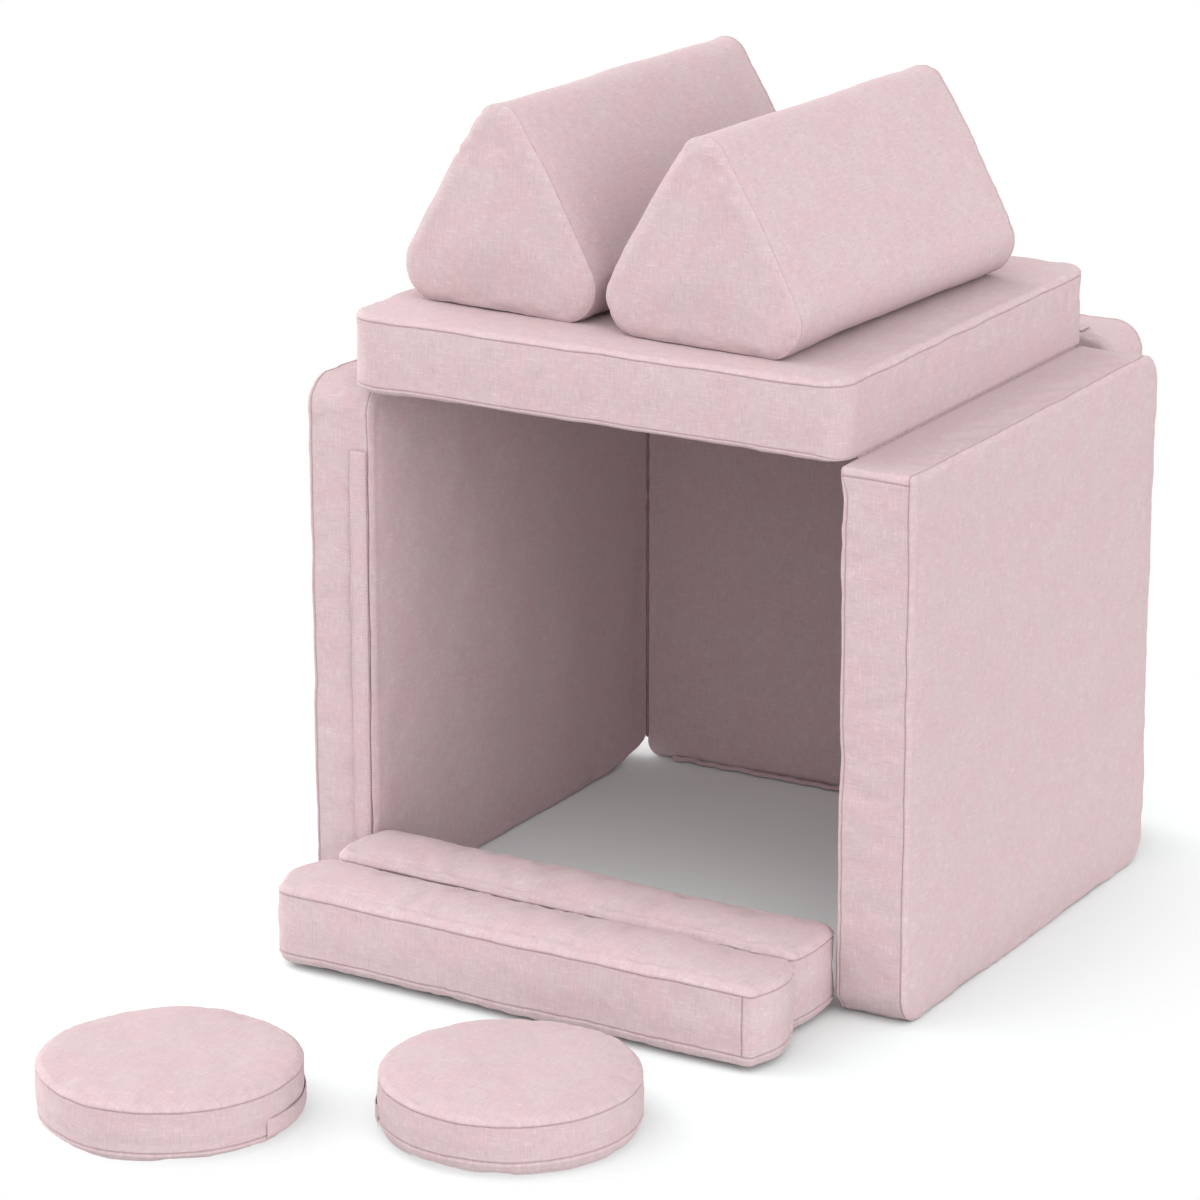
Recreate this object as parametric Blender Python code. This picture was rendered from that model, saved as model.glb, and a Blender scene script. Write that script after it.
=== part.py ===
"""Modular foam play sofa, set up as a play den.

Ten foam blocks in zip-off covers. Four square mats make the den: the left wall and the rear wall
share one sewn hinge down their inner corner, and the right wall and the roof share another along
the right wall's inner top edge. Two wedges lie on the roof, two bars lie across the doorway, and
two round cushions lie on the floor in front of it.

Every block is a sewn cover, the foam inside it, a zip in a slot of the cover, the zip's slider and
the sewn flap that hides the zip. Lengths are in metres, X to the right, Y away from the doorway
and Z up. The origin is on the floor, under the middle of the whole set.
"""
import math

import bmesh
import bpy
from mathutils import Matrix, Vector

# Mats: four alike, seam to seam along the sides, and over the crowns in thickness
mat_side = 0.700
mat_thickness = 0.105
mat_corner_radius = 0.040
mat_crown = 0.002
mat_crown_width = 0.090

# Bars: two alike, and the doorway is as wide as one is long
bar_length = 0.678
bar_width = 0.119
bar_height = 0.119
bar_corner_radius = 0.021
bar_crown = 0.006
bar_crown_width = 0.042
bar_seam_setback = 0.012

# Wedges: triangles with rounded long edges, the left one swollen wider at its foot
left_wedge_base = 0.358
right_wedge_base = 0.347
wedge_height = 0.294
wedge_length = 0.550
wedge_foot_radius = 0.046
wedge_ridge_radius = 0.034
wedge_face_crown = 0.0025
wedge_end_crown = 0.004
wedge_end_crown_width = 0.050

# Round cushions: two alike
disc_diameter = 0.311
disc_height = 0.082
disc_crown = 0.004
disc_crown_width = 0.060

# Sewn covers: how far each panel rolls over before its seam, and how the side strips swell
roll_width = 0.009
seam_setback = 0.009
side_swell = 0.0006
cover_wall = 0.002
flat_cut = 0.0005

# Gaps between pieces that touch, between hinged mats, and past a cut
fit_gap = 0.0003
hinge_gap = 0.0003
bar_end_gap = 0.0005
cut_overrun = 0.001
hinge_welt_radius = 0.0034

# Zips: chain in its slot, slider, and the flap over them
zip_chain_width = 0.006
zip_seam_distance = 0.0125
slider_body_length = 0.009
slider_body_width = 0.008
slider_nose_length = 0.002
slider_tab_length = 0.013
slider_tab_width = 0.005
slider_thickness = 0.0015
slider_end_margin = 0.003
flap_width = 0.024
flap_cloth = 0.001
flap_foot_width = 0.0036
flap_lip_width = 0.0012
wall_zip_length = 0.528
top_zip_length = 0.600
bar_zip_length = 0.560
wedge_zip_length = 0.420

# How the blocks are set up: each bar by the middle of its left end, the wedges by their distance
# from the roof's hinge
right_wall_lead = 0.0283
far_bar_left_x = -0.0019
far_bar_left_y = -0.0441
far_bar_turn_deg = -1.5
near_bar_left_x = 0.0030
near_bar_left_y = -0.1793
near_bar_turn_deg = -0.8
left_wedge_hinge_distance = 0.5126
left_wedge_front_y = 0.052
right_wedge_hinge_distance = 0.2066
right_wedge_front_y = 0.020
wedge_turn_deg = -3.2
left_disc_x = 0.154
left_disc_y = -0.686
right_disc_x = 0.517
right_disc_y = -0.518

# Shares of the sizes above, for the seam-to-seam swell and the panel's roll
side_flat_share = 0.45
side_fall_share = 0.75
disc_side_flat_share = 0.10
wedge_side_flat_share = 0.80
roll_middle_shares = (0.29, 0.71)
wedge_zip_share = 0.125

# Facets
mat_arc_steps = 6
wedge_arc_steps = 6
wedge_side_steps = 4
pocket_arc_steps = 3
disc_steps = 72
disc_zip_facets = 34
left_disc_zip_first_facet = -2
right_disc_zip_first_facet = 10
welt_sides = 12

# Places that follow from the sizes, measured from the foot of the inner corner of the two walls
# on the left, whose hinge stands one mat side behind the left wall's front
corner_y = mat_side
wall_top = mat_side - flat_cut
right_inner_x = far_bar_left_x + bar_length + bar_end_gap + mat_crown
roof_hinge_z = wall_top + hinge_gap
right_front_y = -right_wall_lead
roof_top = roof_hinge_z - mat_crown + mat_thickness

# Middle of the whole set on the floor
floor_left = mat_crown - mat_thickness
floor_right = right_inner_x - mat_crown + mat_thickness
floor_front = left_disc_y - disc_diameter / 2
floor_back = corner_y - mat_crown + mat_thickness
floor_middle = Vector(((floor_left + floor_right) / 2, (floor_front + floor_back) / 2, 0.0))


def clear_scene():
    """Start from an empty scene."""
    for old in list(bpy.data.objects):
        bpy.data.objects.remove(old, do_unlink=True)


def make_material(name, colour, roughness, metallic=0.0):
    """A plain Principled material."""
    material = bpy.data.materials.new(name)
    material.use_nodes = True
    shader = material.node_tree.nodes["Principled BSDF"]
    shader.inputs["Base Color"].default_value = (*colour, 1.0)
    shader.inputs["Roughness"].default_value = roughness
    shader.inputs["Metallic"].default_value = metallic
    material.diffuse_color = (*colour, 1.0)
    return material


def add_object(name, mesh, material, axis, matrix):
    """Put a mesh, made in its block's own frame, under the empty that holds the block's axis."""
    mesh.name = name
    item = bpy.data.objects.new(name, mesh)
    bpy.context.collection.objects.link(item)
    if material is not None:
        mesh.materials.append(material)
    item.parent = axis
    item.matrix_basis = axis.matrix_basis.inverted() @ matrix
    return item


def add_axis(name, position, turn=None):
    """An empty on a joint's axis; the pieces of the moving block hang from it."""
    axis = bpy.data.objects.new(name, None)
    bpy.context.collection.objects.link(axis)
    matrix = Matrix.Translation(position - floor_middle)
    axis.matrix_basis = matrix if turn is None else matrix @ turn.to_4x4()
    return axis


def frame_matrix(along_u, along_v, centre):
    """A block's own frame: u and v in the plane of its outline, w through its thickness."""
    u = Vector(along_u)
    v = Vector(along_v)
    w = u.cross(v)
    turn = Matrix((u, v, w)).transposed()
    return Matrix.Translation(centre - floor_middle) @ turn.to_4x4()


def ring_mesh(rings, flat_axis=None, flat_at=0.0):
    """A closed body through rings of points, with a flat where it stands."""
    shape = bmesh.new()
    rows = []
    for ring in rings:
        row = []
        for point in ring:
            place = Vector(point)
            if flat_axis is not None:
                place[flat_axis] = max(place[flat_axis], flat_at)
            row.append(shape.verts.new(place))
        rows.append(row)
    for lower, upper in zip(rows, rows[1:]):
        for i in range(len(lower)):
            j = (i + 1) % len(lower)
            shape.faces.new((lower[i], lower[j], upper[j], upper[i]))
    shape.faces.new(list(reversed(rows[0])))
    shape.faces.new(rows[-1])
    bmesh.ops.recalc_face_normals(shape, faces=shape.faces)
    mesh = bpy.data.meshes.new("body")
    shape.to_mesh(mesh)
    shape.free()
    return mesh


def shade_round(item, angle_deg=32.0):
    """Smooth shading on the rolled edges, with the sharp ones kept."""
    item.data.shade_smooth()
    item.data.set_sharp_from_angle(angle=math.radians(angle_deg))


# Outlines

def rounded_outline(corners, inset, arc_steps, side_steps=1, swells=None):
    """A convex outline moved in by the inset, with arcs at its corners.

    Each corner is a pair of coordinates and a radius. Each side may swell outwards by its own
    height, in the given number of steps.
    """
    count = len(corners)
    points = []
    for i in range(count):
        radius = corners[i][2]
        arc_radius = max(radius - inset, radius / arc_steps)
        before, corner, after = (Vector(corners[j % count][:2]) for j in (i - 1, i, i + 1))
        arrive = (corner - before).normalized()
        leave = (after - corner).normalized()
        turn = math.acos(max(-1.0, min(1.0, arrive.dot(leave))))
        inward = Vector((-arrive.y, arrive.x))
        start = math.atan2(-inward.y, -inward.x)
        depth = inset + arc_radius
        bisector = (leave - arrive).normalized()
        centre = corner + bisector * (depth / math.cos(turn / 2))
        arc = []
        for k in range(arc_steps + 1):
            angle = start + turn * k / arc_steps
            arc.append(centre + arc_radius * Vector((math.cos(angle), math.sin(angle))))
        points.append(arc)
    outline = []
    for i in range(count):
        outline += points[i]
        first, last = points[i][-1], points[(i + 1) % count][0]
        side = (last - first).normalized()
        outward = Vector((side.y, -side.x))
        swell = swells[i] if swells else 0.0
        for k in range(1, side_steps):
            share = k / side_steps
            outline.append(first.lerp(last, share) + outward * (swell * 4 * share * (1 - share)))
    return outline


def round_outline(radius, inset, steps):
    """A circle moved in by the inset."""
    reach = radius - inset
    turn = 2 * math.pi / steps
    return [Vector((reach * math.cos(k * turn), reach * math.sin(k * turn))) for k in range(steps)]


def rectangle(width, depth, radius):
    """The four corners of a rectangle about the middle, turning to the left."""
    u, v = width / 2, depth / 2
    return [(-u, -v, radius), (u, -v, radius), (u, v, radius), (-u, v, radius)]


# Cover profiles: pairs of inset and height, from the lower panel up to the upper one

def cover_profile(height, crown, crown_width, setback, flat_share):
    """The outside of a cover: crowned panels that roll over to the seams of a swollen side strip."""
    half = height / 2
    panel = half - crown
    seam = panel - setback
    middle_in = side_swell + (roll_width - side_swell) * roll_middle_shares[0]
    middle_up = seam + setback * roll_middle_shares[1]
    upper = [
        (0.0, seam * flat_share),
        (side_swell, seam),
        (middle_in, middle_up),
        (roll_width, panel),
        (crown_width, half),
    ]
    lower = [(inset, -level) for inset, level in reversed(upper)]
    return lower + upper


def pocket_profile(height, crown, setback, gap):
    """The pocket inside a cover, or, with a gap, the foam that fills it."""
    panel = height / 2 - crown - cover_wall - gap
    seam = height / 2 - crown - setback - cover_wall
    side = side_swell + cover_wall + gap
    shoulder = roll_width + cover_wall + gap
    return [(shoulder, -panel), (side, -seam), (side, seam), (shoulder, panel)]


def stack(outline, profile):
    """Rings of points: the outline at each inset, at each height."""
    return [[(p.x, p.y, level) for p in outline(inset)] for inset, level in profile]


# Zips: a path maps a place along, across and out from the cover's side to the block's frame

def straight_path(middle, along, across, out):
    """A zip on a flat side."""
    middle, along, across, out = Vector(middle), Vector(along), Vector(across), Vector(out)
    return lambda a, s, n: middle + along * a + across * s + out * n


def round_path(radius, level, start, up):
    """A zip round the side of a disc, from its start angle towards the left."""

    def place(a, s, n):
        angle = start + a / radius
        reach = radius + n
        return Vector((reach * math.cos(angle), reach * math.sin(angle), level + s * up))

    return place


def sweep(path, section, stations):
    """A closed body of one section, carried to each station of a path."""
    return ring_mesh([[path(a, s, n) for n, s in section] for a in stations])


def slot_section():
    """The slot that is cut through the cover's wall for the zip."""
    half = zip_chain_width / 2 + fit_gap
    deep = -(side_swell + cover_wall + cut_overrun)
    return [(deep, -half), (cut_overrun, -half), (cut_overrun, half), (deep, half)]


def chain_section():
    """The zip's chain and tape, inside the slot."""
    half = zip_chain_width / 2
    deep = -(side_swell + cover_wall)
    face = -(side_swell + fit_gap)
    return [(deep, -half), (face, -half), (face, half), (deep, half)]


def flap_section():
    """The flap: a sewn foot next to the seam, a strip over the zip and a turned-down lip."""
    half = flap_width / 2
    under = fit_gap + slider_thickness + fit_gap
    top = under + flap_cloth
    foot = half - flap_foot_width
    lip = -half + flap_lip_width
    lip_bottom = fit_gap + fit_gap
    return [
        (fit_gap, half),
        (top, half),
        (top, -half),
        (lip_bottom, -half),
        (lip_bottom, lip),
        (under, lip),
        (under, foot),
        (fit_gap, foot),
    ]


def slider_mesh(path, start):
    """The slider's body with its nose and its pull tab, lying flat under the flap."""
    body, tab = slider_body_width / 2, slider_tab_width / 2
    body_end = start + slider_body_length
    tab_start = body_end + slider_nose_length
    tab_end = tab_start + slider_tab_length
    low, high = fit_gap, fit_gap + slider_thickness
    rings = []
    for a, half in (
        (start, tab),
        (start + slider_nose_length, body),
        (body_end, body),
        (tab_start, tab),
        ((tab_start + tab_end) / 2, tab),
        (tab_end, tab),
    ):
        rings.append([path(a, -half, low), path(a, half, low), path(a, half, high), path(a, -half, high)])
    return ring_mesh(rings)


# Blocks

def make_block(name, axis, matrix, outlines, sizes, flat, path, sink, stations):
    """One block: cover with its pocket and zip slot cut out, foam, zip, slider and flap.

    The sizes are height, crown, crown width, seam setback and flat share; flap and slider sink
    with the side strip's fall towards the seam.
    """
    outline, pocket_outline = outlines
    height, crown, _, setback, _ = sizes
    pocket = stack(pocket_outline, pocket_profile(height, crown, setback, 0.0))
    foam = stack(pocket_outline, pocket_profile(height, crown, setback, fit_gap))
    cover_mesh = ring_mesh(stack(outline, cover_profile(*sizes)), *flat)
    cover = add_object(name + "_cover", cover_mesh, cloth, axis, matrix)
    hollow = add_object(name + "_pocket_cutter", ring_mesh(pocket), None, axis, matrix)
    slot_stations = [stations[0] - fit_gap] + stations[1:-1] + [stations[-1] + fit_gap]
    slot_mesh = sweep(path, slot_section(), slot_stations)
    slot = add_object(name + "_slot_cutter", slot_mesh, None, axis, matrix)
    for cutter in (hollow, slot):
        cutter.hide_render = True
        cutter.display_type = "WIRE"
        cut = cover.modifiers.new("cut_" + cutter.name, "BOOLEAN")
        cut.operation = "DIFFERENCE"
        cut.solver = "EXACT"
        cut.object = cutter
    shade_round(cover)
    add_object(name + "_foam", ring_mesh(foam), foam_material, axis, matrix)
    add_object(name + "_zip", sweep(path, chain_section(), stations), zip_tape, axis, matrix)

    def sunk_path(a, s, n):
        return path(a, s, n - sink)

    add_object(name + "_zip_flap", sweep(sunk_path, flap_section(), stations), cloth, axis, matrix)
    slider = slider_mesh(sunk_path, stations[0] + slider_end_margin)
    add_object(name + "_zip_slider", slider, zip_metal, axis, matrix)


def zip_stations(length, steps=1):
    """Places along a zip about its middle."""
    return [length * (k / steps - 1 / 2) for k in range(steps + 1)]


def make_mat(name, axis, matrix, zip_side, zip_along, zip_length, stands):
    """A square mat with its zip on one side strip, next to the seam of the inner panel."""
    corners = rectangle(mat_side, mat_side, mat_corner_radius)
    across = Vector((0.0, 0.0, 1.0))
    seam = mat_thickness / 2 - mat_crown - seam_setback
    middle = Vector(zip_side) * (mat_side / 2) + across * (seam - zip_seam_distance)
    make_block(
        name,
        axis,
        matrix,
        (
            lambda inset: rounded_outline(corners, inset, mat_arc_steps),
            lambda inset: rounded_outline(corners, inset, pocket_arc_steps),
        ),
        (mat_thickness, mat_crown, mat_crown_width, seam_setback, side_flat_share),
        (1, -mat_side / 2 + flat_cut) if stands else (None, 0.0),
        straight_path(middle, zip_along, across, zip_side),
        side_swell * side_fall_share,
        zip_stations(zip_length),
    )


def make_bar(name, axis, matrix):
    """A long bar, lying flat, with its zip low on the side away from the viewer."""
    corners = rectangle(bar_length, bar_width, bar_corner_radius)
    seam = bar_height / 2 - bar_crown - bar_seam_setback
    middle = (0.0, bar_width / 2, -(seam - zip_seam_distance))
    make_block(
        name,
        axis,
        matrix,
        (
            lambda inset: rounded_outline(corners, inset, mat_arc_steps),
            lambda inset: rounded_outline(corners, inset, pocket_arc_steps),
        ),
        (bar_height, bar_crown, bar_crown_width, bar_seam_setback, side_flat_share),
        (2, -bar_height / 2 + flat_cut),
        straight_path(middle, (1.0, 0.0, 0.0), (0.0, 0.0, -1.0), (0.0, 1.0, 0.0)),
        side_swell * side_fall_share,
        zip_stations(bar_zip_length),
    )


def make_wedge(name, axis, matrix, base):
    """A triangular wedge on its broad side, with its zip low on the left slope."""
    corners = [
        (-base / 2, 0.0, wedge_foot_radius),
        (base / 2, 0.0, wedge_foot_radius),
        (0.0, wedge_height, wedge_ridge_radius),
    ]
    swells = (0.0, wedge_face_crown, wedge_face_crown)

    def outline(inset, arc_steps):
        return rounded_outline(corners, inset, arc_steps, wedge_side_steps, swells)

    whole = outline(0.0, wedge_arc_steps)
    foot, step = whole[0], whole[-1]
    up_slope = (step - foot).normalized()
    out = Vector((-up_slope.y, up_slope.x, 0.0))
    middle = foot.lerp(step, wedge_zip_share * wedge_side_steps)
    make_block(
        name,
        axis,
        matrix,
        (lambda inset: outline(inset, wedge_arc_steps), lambda inset: outline(inset, pocket_arc_steps)),
        (wedge_length, wedge_end_crown, wedge_end_crown_width, seam_setback, wedge_side_flat_share),
        (1, flat_cut),
        straight_path(middle.to_3d(), (0.0, 0.0, 1.0), -up_slope.to_3d(), out),
        0.0,
        zip_stations(wedge_zip_length),
    )


def make_disc(name, axis, matrix, zip_first_facet):
    """A round cushion, lying flat, with its zip round half of its lower seam."""
    radius = disc_diameter / 2
    seam = disc_height / 2 - disc_crown - seam_setback
    facet_turn = 2 * math.pi / disc_steps

    def outline(inset):
        return round_outline(radius, inset, disc_steps)

    make_block(
        name,
        axis,
        matrix,
        (outline, outline),
        (disc_height, disc_crown, disc_crown_width, seam_setback, disc_side_flat_share),
        (2, -disc_height / 2 + flat_cut),
        round_path(radius, -(seam - zip_seam_distance), zip_first_facet * facet_turn, -1.0),
        side_swell * side_fall_share,
        [radius * facet_turn * k for k in range(disc_zip_facets + 1)],
    )


def make_welt(name, axis, matrix):
    """The rolled seam that hinges two mats, on the hinge's axis, short of the rounded corners."""
    half = mat_side / 2 - mat_corner_radius
    turn = 2 * math.pi / welt_sides
    rings = []
    for level in (-half, half):
        ring = []
        for k in range(welt_sides):
            angle = k * turn
            ring.append((hinge_welt_radius * math.cos(angle), hinge_welt_radius * math.sin(angle), level))
        rings.append(ring)
    welt = add_object(name, ring_mesh(rings), cloth, axis, matrix)
    shade_round(welt)


# The den

def make_left_mat():
    """Left wall and rear wall, hinged down their inner corner."""
    middle_z = mat_side / 2 - flat_cut
    left_axis = add_axis("left_wall_foot", Vector((0.0, corner_y, 0.0)))
    left_centre = Vector((mat_crown - mat_thickness / 2, corner_y - hinge_gap - mat_side / 2, middle_z))
    left = frame_matrix((0.0, 1.0, 0.0), (0.0, 0.0, 1.0), left_centre)
    make_mat("left_wall", left_axis, left, (-1.0, 0.0, 0.0), (0.0, 1.0, 0.0), wall_zip_length, True)
    welt_centre = Vector((0.0, corner_y, middle_z))
    welt = frame_matrix((1.0, 0.0, 0.0), (0.0, 1.0, 0.0), welt_centre)
    make_welt("wall_hinge_welt", left_axis, welt)

    rear_axis = add_axis("rear_wall_hinge", Vector((0.0, corner_y, 0.0)))
    rear_centre = Vector((hinge_gap + mat_side / 2, corner_y - mat_crown + mat_thickness / 2, middle_z))
    rear = frame_matrix((1.0, 0.0, 0.0), (0.0, 0.0, 1.0), rear_centre)
    make_mat("rear_wall", rear_axis, rear, (0.0, 1.0, 0.0), (1.0, 0.0, 0.0), top_zip_length, True)


def make_right_mat():
    """Right wall and roof, hinged along the right wall's inner top edge."""
    middle_y = right_front_y + mat_side / 2
    right_axis = add_axis("right_wall_foot", Vector((right_inner_x, middle_y, 0.0)))
    right_x = right_inner_x - mat_crown + mat_thickness / 2
    right_centre = Vector((right_x, middle_y, mat_side / 2 - flat_cut))
    right = frame_matrix((0.0, -1.0, 0.0), (0.0, 0.0, 1.0), right_centre)
    make_mat("right_wall", right_axis, right, (-1.0, 0.0, 0.0), (0.0, 1.0, 0.0), wall_zip_length, True)
    hinge = Vector((right_inner_x, middle_y, roof_hinge_z))
    welt = frame_matrix((0.0, 0.0, 1.0), (1.0, 0.0, 0.0), hinge)
    make_welt("roof_hinge_welt", right_axis, welt)

    roof_axis = add_axis("roof_hinge", hinge)
    roof_centre = Vector((right_inner_x - hinge_gap - mat_side / 2, middle_y, roof_top - mat_thickness / 2))
    roof = frame_matrix((0.0, 1.0, 0.0), (1.0, 0.0, 0.0), roof_centre)
    make_mat("roof", roof_axis, roof, (1.0, 0.0, 0.0), (0.0, 1.0, 0.0), wall_zip_length, False)


def turned_frame(turn, centre, upright):
    """The frame of a block that is turned about the vertical, lying flat or standing on a side."""
    along = turn @ Vector((1.0, 0.0, 0.0))
    other = Vector((0.0, 0.0, 1.0)) if upright else turn @ Vector((0.0, 1.0, 0.0))
    return frame_matrix(along, other, centre)


def make_wedges():
    """Two wedges side by side on the roof, the right one a little nearer."""
    turn = Matrix.Rotation(math.radians(wedge_turn_deg), 3, "Z")
    foot_z = roof_top + fit_gap - flat_cut
    for name, distance, front_y, base in (
        ("left_wedge", left_wedge_hinge_distance, left_wedge_front_y, left_wedge_base),
        ("right_wedge", right_wedge_hinge_distance, right_wedge_front_y, right_wedge_base),
    ):
        centre = Vector((right_inner_x - distance, front_y + wedge_length / 2, foot_z))
        matrix = turned_frame(turn, centre, True)
        make_wedge(name, add_axis(name + "_seat", centre, turn), matrix, base)


def make_bars():
    """Two bars across the doorway, turned a little against the walls."""
    for name, left_x, left_y, turn_deg in (
        ("far_bar", far_bar_left_x, far_bar_left_y, far_bar_turn_deg),
        ("near_bar", near_bar_left_x, near_bar_left_y, near_bar_turn_deg),
    ):
        turn = Matrix.Rotation(math.radians(turn_deg), 3, "Z")
        left_end = Vector((left_x, left_y, bar_height / 2 - flat_cut))
        centre = left_end + turn @ Vector((bar_length / 2, 0.0, 0.0))
        matrix = turned_frame(turn, centre, False)
        make_bar(name, add_axis(name + "_seat", centre, turn), matrix)


def make_discs():
    """Two round cushions on the floor in front."""
    for name, x, y, first_facet in (
        ("left_disc", left_disc_x, left_disc_y, left_disc_zip_first_facet),
        ("right_disc", right_disc_x, right_disc_y, right_disc_zip_first_facet),
    ):
        centre = Vector((x, y, disc_height / 2 - flat_cut))
        matrix = frame_matrix((1.0, 0.0, 0.0), (0.0, 1.0, 0.0), centre)
        make_disc(name, add_axis(name + "_middle", centre), matrix, first_facet)


clear_scene()
cloth = make_material("pink_melange_cloth", (0.80, 0.66, 0.67), 0.95)
foam_material = make_material("cream_foam", (0.92, 0.89, 0.78), 0.90)
zip_tape = make_material("pink_zip", (0.74, 0.58, 0.60), 0.60)
zip_metal = make_material("zip_slider_metal", (0.62, 0.60, 0.60), 0.35, 1.0)
make_left_mat()
make_right_mat()
make_wedges()
make_bars()
make_discs()
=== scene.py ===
import math

import bmesh
import bpy
import numpy as np
from mathutils import Matrix, Vector
from mathutils.bvhtree import BVHTree
from mathutils.interpolate import poly_3d_calc


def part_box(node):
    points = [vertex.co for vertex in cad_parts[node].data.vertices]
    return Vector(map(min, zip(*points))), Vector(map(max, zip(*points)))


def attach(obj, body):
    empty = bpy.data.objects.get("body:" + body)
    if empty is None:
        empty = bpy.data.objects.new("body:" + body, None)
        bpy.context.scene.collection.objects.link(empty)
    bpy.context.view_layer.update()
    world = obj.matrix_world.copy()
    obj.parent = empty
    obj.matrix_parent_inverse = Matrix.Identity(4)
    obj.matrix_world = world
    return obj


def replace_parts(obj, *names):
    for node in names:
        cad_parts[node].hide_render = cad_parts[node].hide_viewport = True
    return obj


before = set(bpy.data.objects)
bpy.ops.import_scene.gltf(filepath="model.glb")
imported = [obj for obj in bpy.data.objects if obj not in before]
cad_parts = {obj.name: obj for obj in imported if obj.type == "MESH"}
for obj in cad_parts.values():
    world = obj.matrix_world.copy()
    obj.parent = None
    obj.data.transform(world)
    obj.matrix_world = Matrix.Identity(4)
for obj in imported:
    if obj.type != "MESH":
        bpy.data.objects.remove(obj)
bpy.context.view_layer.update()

scene = bpy.context.scene


# Camera, floor and light
# A long lens looks down at the doorway from the front right. The floor is a round sheet of pale
# paper that fades into the white backdrop. A studio tent glows all round, mostly from its sides.

view_yaw = -0.5283
view_pitch = 0.3032
view_target = Vector((-0.2062, 0.3781, 0.350))
view_distance = 6.508
view_lens_mm = 147.47
view_shift = (-0.0057, -0.0042)
floor_radius = 7.0
floor_fade = (0.62, 1.15)
fade_stretch = (1.4, 1.0, 1.0)
fade_shift = (0.0, -0.25, 0.0)
floor_steps = 96
paper_tones = ((0.72, 0.76, 0.755), (0.74, 0.78, 0.775))
tent_base = -0.70
tent_sides = 3.85
tent_left = 0.75
tent_front = 1.45
tent_corner = 1.9
tent_top = 1.90
tent_least = 0.75


class Value:
    """A node's output socket; sums and products of values add Math nodes."""

    def __init__(self, tree, socket):
        self.tree = tree
        self.socket = socket

    def math(self, operation, first, second=0.0, clamp=False):
        settings = {"operation": operation, "use_clamp": clamp}
        return self.tree.add("ShaderNodeMath", settings, {0: first, 1: second})

    def __add__(self, other):
        return self.math("ADD", self, other)

    def __radd__(self, other):
        return self.math("ADD", other, self)

    def __sub__(self, other):
        return self.math("SUBTRACT", self, other)

    def __rsub__(self, other):
        return self.math("SUBTRACT", other, self)

    def __mul__(self, other):
        return self.math("MULTIPLY", self, other)

    def __rmul__(self, other):
        return self.math("MULTIPLY", other, self)

    def clamped(self):
        return self.math("ADD", self, clamp=True)

    def wave(self):
        return self.math("SINE", self)

    def other(self, name):
        return Value(self.tree, self.socket.node.outputs[name])


class Tree:
    """A node tree that is filled one node at a time."""

    def __init__(self, tree):
        self.tree = tree
        self.tree.nodes.clear()

    def add(self, kind, settings=None, inputs=None):
        node = self.tree.nodes.new(kind)
        for name, value in (settings or {}).items():
            setattr(node, name, value)
        for name, value in (inputs or {}).items():
            if isinstance(value, Value):
                self.tree.links.new(value.socket, node.inputs[name])
            else:
                node.inputs[name].default_value = value
        return Value(self, node.outputs[0]) if node.outputs else None

    def mix(self, factor, first, second):
        colours = {0: factor, 6: first, 7: second}
        blend = self.add("ShaderNodeMix", {"data_type": "RGBA"}, colours)
        return Value(self, blend.socket.node.outputs[2])


def put(name, data):
    """A new object in the scene."""
    item = bpy.data.objects.new(name, data)
    bpy.context.collection.objects.link(item)
    return item


def blank_material(name):
    """A new material and its empty node tree."""
    material = bpy.data.materials.new(name)
    material.use_nodes = True
    return material, Tree(material.node_tree)


look = Vector((
    math.sin(view_yaw) * math.cos(view_pitch),
    math.cos(view_yaw) * math.cos(view_pitch),
    -math.sin(view_pitch),
))
lens = bpy.data.cameras.new("view")
lens.sensor_width = 36.0
lens.lens = view_lens_mm
lens.shift_x, lens.shift_y = view_shift
lens.clip_end = 60.0
camera = put("view", lens)
camera.location = view_target - look * view_distance
camera.rotation_euler = look.to_track_quat("-Z", "Y").to_euler()
scene.camera = camera
scene.view_settings.view_transform = "Standard"

studio = bpy.data.worlds.new("studio")
scene.world = studio
studio.use_nodes = True
tent = Tree(studio.node_tree)
ray = tent.add("ShaderNodeLightPath")
seen = (ray + ray.other("Is Glossy Ray") + ray.other("Is Transmission Ray")).clamped()
way = tent.add("ShaderNodeTexCoord")
x_way = tent.add("ShaderNodeSeparateXYZ", None, {0: way})
y_way = x_way.other("Y")
glow = x_way * x_way * tent_sides - x_way * tent_left - y_way * tent_front
glow = glow - x_way * y_way * tent_corner + x_way.other("Z") * tent_top + tent_base
glow = glow.math("MAXIMUM", glow, tent_least)
white = (1.0, 1.0, 1.0, 1.0)
tent_light = tent.add("ShaderNodeBackground", None, {"Color": white, "Strength": glow})
backdrop = tent.add("ShaderNodeBackground", None, {"Color": white, "Strength": 1.0})
shown = tent.add("ShaderNodeMixShader", None, {0: seen, 1: tent_light, 2: backdrop})
tent.add("ShaderNodeOutputWorld", None, {"Surface": shown})

turns = [2 * math.pi * k / floor_steps for k in range(floor_steps)]
rim = [(floor_radius * math.cos(turn), floor_radius * math.sin(turn), 0.0) for turn in turns]
floor_mesh = bpy.data.meshes.new("floor")
floor_mesh.from_pydata(rim, [], [tuple(range(floor_steps))])
floor = put("floor", floor_mesh)
paper, sheet = blank_material("floor_paper")
spot = sheet.add("ShaderNodeTexCoord").other("Object")
stretched = {0: spot, 1: fade_stretch, 2: fade_shift}
about_den = sheet.add("ShaderNodeVectorMath", {"operation": "MULTIPLY_ADD"}, stretched)
away = sheet.add("ShaderNodeVectorMath", {"operation": "LENGTH"}, {0: about_den}).other("Value")
smooth = {"interpolation_type": "SMOOTHSTEP"}
fade = sheet.add("ShaderNodeMapRange", smooth, {0: away, 1: floor_fade[0], 2: floor_fade[1]})
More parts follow.
